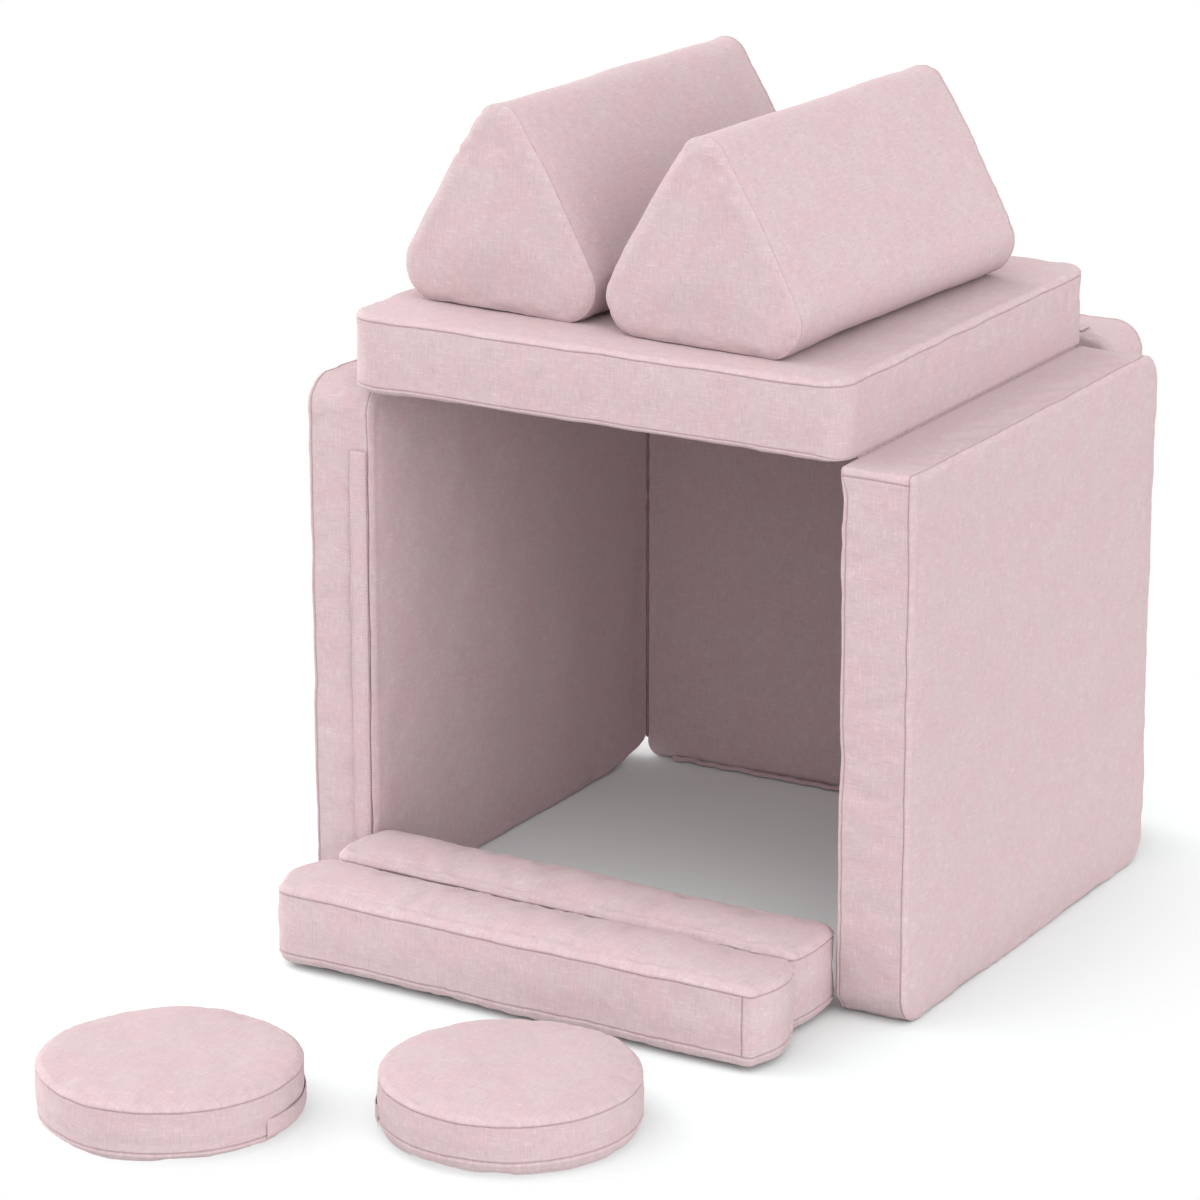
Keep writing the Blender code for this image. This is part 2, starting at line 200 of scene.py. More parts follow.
grain = sheet.add("ShaderNodeTexNoise", None, {"Vector": spot, "Scale": 240.0})
tone = sheet.mix(grain, (*paper_tones[0], 1.0), (*paper_tones[1], 1.0))
matte = sheet.add("ShaderNodeBsdfPrincipled", None, {"Base Color": tone, "Roughness": 0.9})
clear = sheet.add("ShaderNodeBsdfTransparent")
faded = sheet.add("ShaderNodeMixShader", None, {0: fade, 1: matte, 2: clear})
sheet.add("ShaderNodeOutputMaterial", None, {"Surface": faded})
floor_mesh.materials.append(paper)


# The mats' covers: left wall, rear wall, right wall and roof
# Square blocks of firm seat foam in zip-off covers of pale pink melange cloth. Each cover is two
# panels sewn to a side strip. The panels roll over the edge, so their seams sit low on the side,
# and where two mats are hinged their seams are sewn to each other and the edge stays tight.

mat_half = 0.350
mat_half_thickness = 0.0525
mat_corner_radius = 0.040
mat_crown = 0.0022
foot_corner_radius = 0.022
joined_corner_radius = 0.006
mat_join_distance = 0.0046
hinge_roll = 0.0022
mat_set_downs = (0.009, 0.009)
mat_roll_in = 0.011
mat_level_rim = 0.010
mat_rings = np.array([0.004, 0.009, 0.015, 0.022, 0.030])
mat_arc_steps = 10
mat_side_steps = 104
mat_settling = (0.011, 0.0012, 1.0)
strip_fall = 0.0012
strip_step = 0.007
strip_rows = np.array([0.0085, 0.0060, 0.0042, 0.0029, 0.0019, 0.0011, 0.0005])
roll_rows = np.array([0.0005, 0.0011, 0.0019, 0.0029, 0.0040, 0.0053, 0.0068])
roll_start = 0.0085
roll_step = 0.0024
sharpest_radius = 0.010
seam_sway_length = 0.075
seam_sway = 0.0004
seam_sway_reach = 0.014
groove_depth = 0.0010
groove_width = 0.0008
bead_height = 0.0007
bead_offset = 0.0030
bead_width = 0.0016
pucker_length = 0.017
pucker_group_length = 0.11
pucker_height = 0.00042
pucker_reach = 0.010
pucker_gap = 0.002
slack_length = 0.16
slack_height = 0.0006
dimple_length = 0.045
dimple_height = 0.0002
join_depth = 0.0009
join_width = 0.0009
join_bead_height = 0.0006
beside_join = np.array([-0.0042, -0.0026, -0.0014, -0.0006, 0.0, 0.0006, 0.0014, 0.0026, 0.0042])
join_clear = 0.003
mark_width = 0.0010
seam_and_painted_shade_strength = 0.60
seam_hold = 0.008
level_reach = 0.010
panel_middle = 0.08
settle_steps = 16
cloth_behaviour = {
    "quality": 4,
    "mass": 0.3,
    "tension_stiffness": 30,
    "compression_stiffness": 30,
    "shear_stiffness": 15,
    "bending_stiffness": 1.5,
    "air_damping": 4,
    "use_pressure": True,
    "uniform_pressure_force": 4,
    "shrink_min": -0.012,
    "vertex_group_mass": "seams",
}
foot_lift = 0.020
foot_lift_start = 0.590
foot_lift_length = 0.113
foot_lift_reach = 0.060
weave_pitch = 0.0012
weave_height = 0.00006
slub_height = 0.00008
yarn_tones = {
    "ground": (0.459, 0.351, 0.363),
    "rosy": (0.467, 0.338, 0.354),
    "sandy": (0.459, 0.365, 0.360),
    "pale": (0.551, 0.469, 0.474),
    "grey": (0.353, 0.274, 0.289),
    # shade is no yarn: it is the dark tone of the seam marks and of the painted shade
    "shade": (0.225, 0.143, 0.154),
}


def melange(name):
    """Pale pink cloth of mixed yarns: pale, grey and rosy slubs both ways over a plain weave."""
    material, weave = blank_material(name)
    cloth_map = weave.add("ShaderNodeUVMap", {"uv_map": "cloth"})
    tones = {key: (*colour, 1.0) for key, colour in yarn_tones.items()}

    def yarns(length, width, start, detail=2.0):
        """Noise stretched into dashes of the given length and width, lying across the cloth."""
        shift = {0: cloth_map, 1: (start, start, 0.0)}
        moved = weave.add("ShaderNodeVectorMath", {"operation": "ADD"}, shift)
        stretch = (1 / length, 1 / width, 1.0)
        drawn = weave.add("ShaderNodeVectorMath", {"operation": "MULTIPLY"}, {0: moved, 1: stretch})
        settings = {"Vector": drawn, "Scale": 1.0, "Detail": detail, "Roughness": 0.5}
        return weave.add("ShaderNodeTexNoise", {"noise_dimensions": "2D"}, settings)

    def over(noise, level, slope):
        return ((noise - level) * slope).clamped()

    slub_across = yarns(0.020, 0.0026, 1.7)
    slub_along = yarns(0.0026, 0.018, 4.3)
    thread_across = yarns(0.010, 0.0013, 7.9)
    thread_along = yarns(0.0013, 0.010, 9.1)
    mottle = yarns(0.013, 0.016, 3.1, 3.0)
    cloud = yarns(0.050, 0.060, 5.7)
    pale = over(slub_across, 0.55, 6.0) + over(thread_along, 0.55, 4.0)
    grey = over(slub_along, 0.55, 6.0) + over(thread_across, 0.55, 4.0)
    bright = over(slub_along, 0.36, -7.0)
    colour = weave.mix(over(cloud, 0.40, 5.0), tones["ground"], tones["rosy"])
    colour = weave.mix(over(mottle, 0.52, 4.0) * 0.60, colour, tones["sandy"])
    colour = weave.mix(((pale + bright) * 0.32).clamped(), colour, tones["pale"])
    colour = weave.mix((grey * 0.30).clamped(), colour, tones["grey"])
    colour = weave.mix(over(mottle, 0.46, 3.0) * 0.16, colour, tones["grey"])
    # The cloth darkens towards the shade tone where the seam attribute is set: along the covers' seams,
    # and as painted shade on the hinge welts, the rear wall's lip and the zip flaps' edges and undersides.
    seam = weave.add("ShaderNodeAttribute", {"attribute_name": "seam"}).other("Fac")
    dark_seams_and_painted_shade = (thread_across * 1.1 + 0.25) * seam * seam_and_painted_shade_strength
    colour = weave.mix(dark_seams_and_painted_shade.clamped(), colour, tones["shade"])
    across = weave.add("ShaderNodeSeparateXYZ", None, {0: cloth_map})
    pace = 2 * math.pi / weave_pitch
    weft, warp = (across * pace).wave(), (across.other("Y") * pace).wave()
    height = warp * weft * weave_height + pale * slub_height - grey * weave_height
    bump = weave.add("ShaderNodeBump", None, {"Strength": 0.8, "Distance": 1.0, "Height": height})
    surface = {
        "Base Color": colour,
        "Roughness": 0.93,
        "Specular IOR Level": 0.25,
        "Sheen Weight": 0.10,
        "Sheen Roughness": 0.5,
        "Sheen Tint": (1.0, 0.93, 0.94, 1.0),
        "Normal": bump,
    }
    cloth = weave.add("ShaderNodeBsdfPrincipled", None, surface)
    weave.add("ShaderNodeOutputMaterial", None, {"Surface": cloth})
    return material


def ripples(points, size, seed, kinds=28):
    """Smooth random waves of about the given length over a set of points, about one high."""
    dice = np.random.default_rng(seed)
    total = np.zeros(len(points))
    for _ in range(kinds):
        course = dice.normal(size=points.shape[1])
        course /= np.linalg.norm(course)
        pace = 2 * math.pi / (size * dice.uniform(0.7, 1.6))
        total += np.sin(points @ course * pace + dice.uniform(0, 2 * math.pi))
    return total / math.sqrt(kinds / 2)


def hump(distance, width):
    """A smooth rise of one at zero distance."""
    return np.exp(-(distance / width) ** 2)


def even(steps):
    """Even shares from zero up to, and without, one."""
    return np.arange(steps) / max(1, steps)


def eased(share):
    """A smooth climb from zero to one."""
    share = np.clip(share, 0.0, 1.0)
    return share * share * (3 - 2 * share)


def rows_of(items, key):
    """A place or direction of each of a mesh's points, one row each."""
    values = np.empty(len(items) * 3)
    items.foreach_get(key, values)
    return values.reshape(-1, 3)


def bake(item):
    """Swaps an object's mesh for the one that its modifiers make of it."""
    ready = item.evaluated_get(bpy.context.evaluated_depsgraph_get())
    item.data = bpy.data.meshes.new_from_object(ready)
    item.modifiers.clear()
    return item.data


def mark_cloth(mesh, places, mark):
    """Gives a mesh its corners' places on the cut cloth, its seam marks and painted shade, and smooth
    shading.
    """
    mesh.uv_layers.new(name="cloth").data.foreach_set("uv", np.array(places, float).ravel())
    # The seam attribute holds the seam marks and the painted shade alike.
    mesh.attributes.new("seam", "FLOAT", "POINT").data.foreach_set("value", mark)
    mesh.shade_smooth()


def packed_box(node):
    """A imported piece's lowest and highest corner and its middle."""
    low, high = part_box(node)
    return low, high, (low + high) / 2


def plan_outline(corners, arcs, sides, bows=(0.0, 0.0, 0.0, 0.0)):
    """Gives a block's outline at any inset, always with the same points round it.

    Corners are places with a radius, turning to the left. Arcs and sides are the shares along each
    corner and each side that follows it where the mesh has a point. Each side bows out in the middle.
    With four corners it also gives the points midway round them, where a panel's grid turns.
    """
    count = len(corners)

    def outline(inset):
        rounds = []
        for i in range(count):
            before, here, after = (np.array(corners[j % count][:2]) for j in (i - 1, i, i + 1))
            radius = max(corners[i][2] - inset, min(corners[i][2], sharpest_radius))
            arrive = (here - before) / np.linalg.norm(here - before)
            leave = (after - here) / np.linalg.norm(after - here)
            turn = math.acos(np.clip(arrive @ leave, -1.0, 1.0))
            start = math.atan2(-arrive[0], arrive[1])
            bisector = (leave - arrive) / np.linalg.norm(leave - arrive)
            centre = here + bisector * (inset + radius) / math.cos(turn / 2)
            angles = start + turn * np.append(arcs[i], 1.0)
            rounds.append(centre + radius * np.stack([np.cos(angles), np.sin(angles)], 1))
        rows = []
        for i in range(count):
            first, last = rounds[i][-1], rounds[(i + 1) % count][0]
            rows.append(rounds[i][:-1])
            if len(sides[i]):
                share = sides[i][:, None]
                course = (last - first) / np.linalg.norm(last - first)
                out = np.array([course[1], -course[0]])
                rows.append(first + (last - first) * share + out * bows[i] * 4 * share * (1 - share))
        return np.concatenate(rows)

    counts = [len(arc) + len(side) for arc, side in zip(arcs, sides)]
    starts = [len(arcs[0]) // 2 + sum(counts[:k]) for k in range(4)] if count == 4 else None
    return outline, starts


def seam_profile(half, crown, set_down, roll_in, fall):
    """Half a section: inset, level and distance from the seam, from the middle of the strip out.

    The side strip falls in a little towards the seam, and the panel rolls over above it.
    """
    seam = half - crown - set_down
    plain = seam - strip_rows[0]
    plain_rows = plain * even(int(plain / strip_step) + 1)
    low = np.concatenate([plain_rows, seam - strip_rows, [seam]])
    strip = np.stack([fall * (low / seam) ** 2, low, low - seam], 1)
    length = math.pi / 2 * math.sqrt((set_down ** 2 + (roll_in - fall) ** 2) / 2)
    over = np.concatenate([roll_rows, np.arange(roll_start, length, roll_step)])
    over = np.append(over[over < length - roll_step / 2], length)
    angle = over / length * math.pi / 2
    inset = fall + (roll_in - fall) * (1 - np.cos(angle))
    roll = np.stack([inset, seam + set_down * np.sin(angle), over], 1)
    return np.concatenate([strip, roll])


def tight_profile(section, half, crown, roll):
    """The same section with its roll drawn in, for an edge that is sewn to its neighbour."""
    tight = section.copy()
    strip = section[:, 2] <= 0.0
    fresh_seam = half - crown - roll
    tight[strip, 0] = 0.0
    tight[strip, 1] *= fresh_seam / section[strip, 1].max()
    angle = section[~strip, 2] / section[-1, 2] * math.pi / 2
    tight[~strip, 0] = roll * (1 - np.cos(angle))
    tight[~strip, 1] = fresh_seam + roll * np.sin(angle)
    return tight


def settle(place, normals, faces, distance, hinged, size, most, levelled):
    """Lets a cover relax over its foam by cloth simulation, and gives every point's new place.

    A coarse copy, held at its seams and cut a little too large, is puffed up from inside for some
    steps. Its movement is limited and carried to the fine cover. Levelled is the share of the mean
    outward movement that is taken back, so that at 1 the cover keeps its mean size.
    """
    mesh = bpy.data.meshes.new("settling")
    mesh.from_pydata(place.tolist(), [], faces)
    copy = put("settling", mesh)
    even_out = copy.modifiers.new("even_out", "REMESH")
    even_out.mode = "VOXEL"
    even_out.voxel_size = size
    coarse = bake(copy)
    start = rows_of(coarse.vertices, "co")
    polygons = [tuple(face.vertices) for face in coarse.polygons]
    fine_tree = BVHTree.FromPolygons(place.tolist(), faces)
    held = copy.vertex_groups.new(name="seams")
    for i, point in enumerate(start):
        face = list(faces[fine_tree.find_nearest(point)[2]])
        hold = max(hump(np.abs(distance[face]).min(), seam_hold), hinged[face].max())
        held.add([i], float(hold), "REPLACE")
    cloth = copy.modifiers.new("cloth", "CLOTH")
    for key, value in cloth_behaviour.items():
        setattr(cloth.settings, key, value)
    cloth.settings.effector_weights.gravity = 0
    cloth.collision_settings.use_collision = False
    for step in range(1, settle_steps + 1):
        scene.frame_set(step)
    ready = copy.evaluated_get(bpy.context.evaluated_depsgraph_get())
    move = rows_of(ready.data.vertices, "co") - start
    scene.frame_set(1)
    bpy.data.objects.remove(copy)
    length = np.linalg.norm(move, axis=1)[:, None] + 1e-9
    move *= np.tanh(length / most) * most / length
    tree = BVHTree.FromPolygons(start.tolist(), polygons)
    carried = np.zeros_like(place)
    for i, point in enumerate(place):
        spot, _, index, _ = tree.find_nearest(point)
        corners = polygons[index]
        shares = poly_3d_calc([Vector(start[k]) for k in corners], spot)
        carried[i] = np.array(shares) @ move[list(corners)] * (1 - hinged[i])
    loose = 1 - hump(distance, level_reach)
    outward = (carried * normals).sum(1)
    mean = levelled * np.average(outward, weights=loose)
    return place + carried - normals * (loose * mean)[:, None]


class Cover:
    """A sewn cover in its own frame: u and v in the plane of its panels, w through the block.

    Rings of points run from the upper panel down the side to the lower one, and each panel is
    filled in: as a grid where the plan has four corners, and otherwise with rings.
    """

    def __init__(self, plan, half, crown, set_downs, roll_in, fall, rings, hinge=None):
        outline, starts = plan
        rows = []
        for sign, set_down in ((1, set_downs[0]), (-1, set_downs[1])):
            section = seam_profile(half, crown, set_down, roll_in, fall)
            pair = []
            for edge_section in (section, tight_profile(section, half, crown, hinge_roll)):
                share = np.linspace(0.5, 1.0, len(rings))
                inset = edge_section[-1, 0] * (1 - share) + roll_in * share + rings
                flat = np.full(len(rings), half - crown)
                inner = np.column_stack([inset, flat, section[-1, 2] + rings])
                pair.append(np.concatenate([edge_section, inner]))
            if sign > 0:
                rows += [(loose, tight, 1) for loose, tight in zip(pair[0][::-1], pair[1][::-1])]
            else:
                rows += [(loose, loose, -1) for loose in pair[0][1:]]
        edge = outline(0.0)
        self.count = len(edge)
        self.crown = crown
        self.roll_end = section[-1, 2]
        tightness = np.zeros(self.count) if hinge is None else hinge(edge)
        steps = np.linalg.norm(np.roll(edge, -1, axis=0) - edge, axis=1)
        self.round = np.concatenate([[0.0], np.cumsum(steps)])
        points, distance, side, hinged = [], [], [], []
        for loose, tight, sign in rows:
            share = tightness[:, None] if sign > 0 else np.zeros((self.count, 1))
            place = outline(loose[0]) * (1 - share) + outline(tight[0]) * share
            level = (loose[1] * (1 - share) + tight[1] * share) * sign
            points.append(np.concatenate([place, level], 1))
            distance.append(np.full(self.count, loose[2]))
            side.append(np.full(self.count, sign))
            inward = eased((loose[2] - self.roll_end) / rings[-1])
            hinged.append(share[:, 0] * (1 - inward))
        self.points = np.concatenate(points)
        self.distance = np.concatenate(distance)
        self.side = np.concatenate(side)
        self.hinged = np.concatenate(hinged)
        self.around = np.tile(self.round[:-1], len(rows))
        self.faces = []
        self.columns = []
        after = np.roll(np.arange(self.count), -1)
        for r in range(len(rows) - 1):
            on_strip = rows[r][0][2] <= 0.0 and rows[r + 1][0][2] <= 0.0
            a, b = r * self.count, (r + 1) * self.count
            self.faces += [(a + k, b + k, b + int(j), a + int(j)) for k, j in enumerate(after)]
            self.columns += list(range(self.count)) if on_strip else [-1] * self.count
        for row, sign in ((0, 1), (len(rows) - 1, -1)):
            ring = np.arange(self.count) + row * self.count
            if starts is None:
                self.fill_rings(ring, sign)
            else:
                self.fill_grid(np.roll(ring, -starts[0]), starts, sign)

    def extend(self, fresh, sign):
        """Adds points in the middle of a panel."""
        first = len(self.points)
        self.points = np.concatenate([self.points, fresh])
        self.distance = np.append(self.distance, np.full(len(fresh), panel_middle))
        self.side = np.append(self.side, np.full(len(fresh), sign))
        self.hinged = np.append(self.hinged, np.zeros(len(fresh)))
        self.around = np.append(self.around, np.zeros(len(fresh)))
        return first

    def close_faces(self, faces, sign):
        self.faces += [tuple(face) if sign > 0 else tuple(face[::-1]) for face in faces]
        self.columns += [-1] * len(faces)

    def fill_grid(self, ring, starts, sign):
        """Fills a four-sided panel with rows and columns between the points of its sides."""
        n, m = starts[1] - starts[0], starts[2] - starts[1]
        ring = np.append(ring, ring[0])
        sides = ring[:n + 1], ring[n:n + m + 1], ring[n + m:2 * n + m + 1][::-1], ring[2 * n + m:][::-1]
        south, east, north, west = (self.points[side] for side in sides)
        x = (np.arange(1, n) / n)[None, :, None]
        y = (np.arange(1, m) / m)[:, None, None]
        inner = (1 - y) * south[None, 1:n] + y * north[None, 1:n]
        inner = inner + (1 - x) * west[1:m, None] + x * east[1:m, None]
        inner = inner - (1 - x) * (1 - y) * south[0] - x * (1 - y) * south[n]
        inner = inner - (1 - x) * y * north[0] - x * y * north[n]
        first = self.extend(inner.reshape(-1, 3), sign)
        grid = np.zeros((m + 1, n + 1), int)
        grid[0], grid[:, n], grid[m], grid[:, 0] = sides
        grid[1:m, 1:n] = first + np.arange((m - 1) * (n - 1)).reshape(m - 1, n - 1)
        cells = np.stack([grid[:-1, :-1], grid[:-1, 1:], grid[1:, 1:], grid[1:, :-1]], -1)
        self.close_faces(cells.reshape(-1, 4).tolist(), sign)

    def fill_rings(self, ring, sign):
        """Fills a panel with rings that shrink to its middle."""
        plan = self.points[ring]
        middle = plan.mean(0)
        for share in np.linspace(1.0, 0.0, 25)[1:-1]:
            fresh = np.arange(self.count) + self.extend(middle + (plan - middle) * share, sign)
            quads = np.stack([fresh, ring, np.roll(ring, -1), np.roll(fresh, -1)], 1)
            self.close_faces(quads.tolist(), sign)
            ring = fresh
        pole = self.extend(middle[None], sign)
        self.close_faces([[int(a), int(b), pole] for a, b in zip(ring, np.roll(ring, -1))], sign)

    def cloth_map(self, points):
        """Where each face's corners lie on the cut cloth, in metres."""
        places = []
        for face, column in zip(self.faces, self.columns):
            for i in face:
                if column < 0:
                    places.append((points[i, 0], points[i, 1]))
                else:
                    beyond = (i - column) % self.count != 0
                    places.append((self.round[column + beyond], points[i, 2]))
        return places

    def sew(self, body, matrix, shape, seed, settling, relief=1.0, joins=(), rest=None, fit=None):
        """Crowns the panels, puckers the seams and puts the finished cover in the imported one's place."""
        points = self.points.copy()
        distance, side = self.distance, self.side
        loose = 1 - self.hinged
        edge = np.where(distance < panel_middle, 1.0, 0.0)
        line = np.column_stack([self.around, side * 0.4])
        on_panel = distance > self.roll_end - 1e-9
        points[:, 2] += np.where(on_panel, self.crown * shape(points[:, :2]), 0.0) * side
        sway = ripples(line, seam_sway_length, seed + 5) * seam_sway
        points[:, 2] += sway * hump(distance, seam_sway_reach) * loose * edge * side
        mesh = bpy.data.meshes.new(body + "_cloth")
        mesh.from_pydata(points.tolist(), [], self.faces)
        mesh.transform(matrix)
        normals = rows_of(mesh.vertex_normals, "vector")
        push = -groove_depth * hump(distance, groove_width) * (1 - 0.6 * self.hinged)
        push += bead_height * hump(distance - bead_offset, bead_width) * loose
        tucks = ripples(line, pucker_length, seed + 1)
        tucks = tucks * (0.55 + 0.45 * ripples(line, pucker_group_length, seed + 2))
        band = np.exp(-np.abs(distance) / pucker_reach) * (1 - 0.6 * hump(distance, pucker_gap)) * edge
        push += pucker_height * tucks * band * loose
        push += slack_height * ripples(points, slack_length, seed + 3) * loose
        push += dimple_height * ripples(points, dimple_length, seed + 4) * loose
        mark = hump(distance, mark_width) * (1 - 0.4 * self.hinged)
        on_strip = distance <= 0.0
        for join in joins:
            gap = np.abs(self.around - join)
            push -= join_depth * hump(gap, join_width) * on_strip
            push += join_bead_height * hump(gap - bead_offset, bead_width) * on_strip
            mark = np.maximum(mark, hump(gap, mark_width) * on_strip)
        place = rows_of(mesh.vertices, "co") + normals * (push * relief)[:, None]
        place = settle(place, normals, self.faces, distance, self.hinged, *settling)
        if fit is not None:
            place = fit(place)
        if rest is not None:
            place[:, 2] = np.maximum(place[:, 2], rest)
        mesh.vertices.foreach_set("co", place.ravel())
        mark_cloth(mesh, self.cloth_map(points), mark)
        mesh.update()
        mesh.materials.append(cover_cloth)
        cover = put(body + "_cloth", mesh)
        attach(cover, body)
        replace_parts(cover, body + "_cover")


def standing(u, v, middle):
    """A block's own frame, placed in the scene."""
    u, v = Vector(u), Vector(v)
    turn = Matrix((u, v, u.cross(v))).transposed()
    return Matrix.Translation(middle) @ turn.to_4x4()


def rectangle(half_u, half_v, radii):
    """A rectangle's four corners, turning to the left, each with its own radius."""
    signs = ((-1, -1), (1, -1), (1, 1), (-1, 1))
    return [(u * half_u, v * half_v, radius) for (u, v), radius in zip(signs, radii)]


def joined(steps, length, distance):
    """Even shares along a side, with close ones about an upright seam near the side's end."""
    near = 1 - (distance - beside_join) / length
    rest = even(steps)
    return np.concatenate([rest[rest < near[0] - join_clear], near])


def mirrored(shares):
    """The same shares counted from a side's other end."""
    return np.concatenate([[0.0], 1 - shares[:0:-1]])


def mat_shape(p):
    """Fullest over the middle of the panel and level towards its edges."""
    q = np.clip(np.abs(p) / (mat_half - mat_level_rim), 0.0, 1.0) ** 4
    return (1 - q[:, 0]) * (1 - q[:, 1])


def mat_hinge(side_u, side_v):
    """How tight the edge is drawn: fully along the hinged side, less and less round its corners."""

    def tightness(edge):
        return eased((edge @ np.array([side_u, side_v]) - mat_half) / mat_corner_radius + 1)

    return tightness


def lift_rear_foot(place):
    """Lifts the left wall's rear foot a little off the floor."""
    share = np.clip((place[:, 1] - foot_lift_start) / foot_lift_length, 0.0, 1.0) ** 2
    place[:, 2] += foot_lift * share * np.exp(-place[:, 2] / foot_lift_reach)
    return place


mat_arcs = [even(mat_arc_steps)] * 4
side_length = 2 * mat_half - mat_corner_radius - joined_corner_radius
joined_side = joined(mat_side_steps, side_length, mat_join_distance)
plain_side = even(mat_side_steps)
mat_sides = [plain_side, joined_side, plain_side, mirrored(joined_side)]
cover_cloth = melange("cover_cloth")
for name, u, v, hinge_side, odd_corner, odd_radius, seed in (
    ("left_wall", (0, 1, 0), (0, 0, 1), (1, 0), 1, foot_corner_radius, 11),
    ("rear_wall", (1, 0, 0), (0, 0, 1), (-1, 0), 0, foot_corner_radius, 23),
    ("right_wall", (0, -1, 0), (0, 0, 1), (0, 1), 2, joined_corner_radius, 37),
    ("roof", (0, 1, 0), (1, 0, 0), (0, 1), 0, mat_corner_radius, 41),
):
    low, high, middle = packed_box(name + "_cover")
    rest = None
    if name != "roof":
        middle.z = high.z - mat_half
        rest = 0.0
    radii = [odd_radius if k == odd_corner else mat_corner_radius for k in range(4)]
    plan = plan_outline(rectangle(mat_half, mat_half, radii), mat_arcs, mat_sides)
    form = Cover(
        plan, mat_half_thickness, mat_crown, mat_set_downs, mat_roll_in, strip_fall, mat_rings,
        mat_hinge(*hinge_side),
    )
    joins = ()
    if name == "right_wall":
        before = sum(len(part) for part in (mat_arcs[0], mat_sides[0], mat_arcs[1], joined_side))
        joins = (form.round[before - len(beside_join) // 2 - 1],)
    fit = lift_rear_foot if name == "left_wall" else None
    matrix = standing(u, v, middle)
    form.sew(name, matrix, mat_shape, seed, mat_settling, joins=joins, rest=rest, fit=fit)


# The wedges' covers
# Triangular blocks of foam lying on their broad side on the roof. One sheet wraps the long faces
# and a triangular panel is sewn in at each end; the foam fills the ends out and rounds the feet.

wedge_turn = math.radians(-3.2)
wedge_bases = {"left_wedge": 0.358, "right_wedge": 0.347}
wedge_half_length = 0.275
wedge_height = 0.294
wedge_foot_radius = 0.046
wedge_ridge_radius = 0.034
wedge_crown = 0.006
wedge_bow = 0.003
wedge_settling = (0.009, 0.0012, 0.0)
wedge_set_downs = (0.007, 0.007)
wedge_roll_in = 0.019
wedge_fall = 0.0006
wedge_rings = np.array([0.004, 0.009, 0.015])
wedge_rise = 0.070
wedge_sink = 0.0005
wedge_arc_steps = 16
wedge_foot_steps = 38
wedge_slope_steps = 42


def wedge_shape(base):
    """Level along the panel's rim and full over the middle of the triangle."""
    slope_length = math.hypot(base / 2, wedge_height)

    def fullness(p):
        x, y = np.abs(p[:, 0]), p[:, 1]
        from_side = (wedge_height * (base / 2 - x) - base / 2 * y) / slope_length
        from_rim = (np.stack([y, from_side]) - wedge_roll_in) / wedge_rise
        return eased(from_rim).prod(0)

    return fullness


wedge_arcs = [even(wedge_arc_steps)] * 3
wedge_sides = [even(wedge_foot_steps), even(wedge_slope_steps), even(wedge_slope_steps)]
for (name, base), seed in zip(wedge_bases.items(), (53, 67)):
    low, high, middle = packed_box(name + "_cover")
    middle.z = low.z - wedge_sink
    u = (math.cos(wedge_turn), math.sin(wedge_turn), 0.0)
    corners = [
        (-base / 2, 0.0, wedge_foot_radius),
        (base / 2, 0.0, wedge_foot_radius),
        (0.0, wedge_height, wedge_ridge_radius),
    ]
    plan = plan_outline(corners, wedge_arcs, wedge_sides, [0.0, wedge_bow, wedge_bow])
    form = Cover(
        plan, wedge_half_length, wedge_crown, wedge_set_downs, wedge_roll_in, wedge_fall, wedge_rings
    )
    matrix = standing(u, (0.0, 0.0, 1.0), middle)
    form.sew(name, matrix, wedge_shape(base), seed, wedge_settling, rest=low.z)


# The bars' covers
# Long square blocks of softer foam across the doorway. Their panels are crowned and roll over well
# down the side, and the side strip is joined by an upright seam at the front right corner.

bar_turns = {"far_bar": math.radians(-1.5), "near_bar": math.radians(-0.8)}
bar_half_length = 0.339
near_bar_longer = 0.009
far_bar_bows = (0.002, 0.003, 0.0006, 0.004)
near_bar_bows = (0.002, 0.009, 0.0006, 0.012)
bar_half_width = 0.0595
bar_half_height = 0.0595
bar_corner_radius = 0.026
bar_crown = 0.007
bar_settling = (0.0065, 0.0022, 1.0)
bar_joined_radius = 0.013
bar_join_distance = 0.0045
bar_set_downs = (0.012, 0.016)
bar_roll_in = 0.012
bar_level_rim = 0.011
bar_rings = np.array([0.003, 0.007, 0.012])
bar_relief = 1.3
bar_arc_steps = 8
bar_side_steps = 104
bar_end_steps = 13


def bar_shape(half_length):
    """Fullest along the middle of the bar."""
    crowned = np.array([half_length - bar_level_rim, bar_half_width - bar_level_rim])

    def fullness(p):
        q = np.clip(np.abs(p) / crowned, 0.0, 1.0)
        return (1 - q[:, 0] ** 5) * (1 - q[:, 1] ** 2.2)

    return fullness


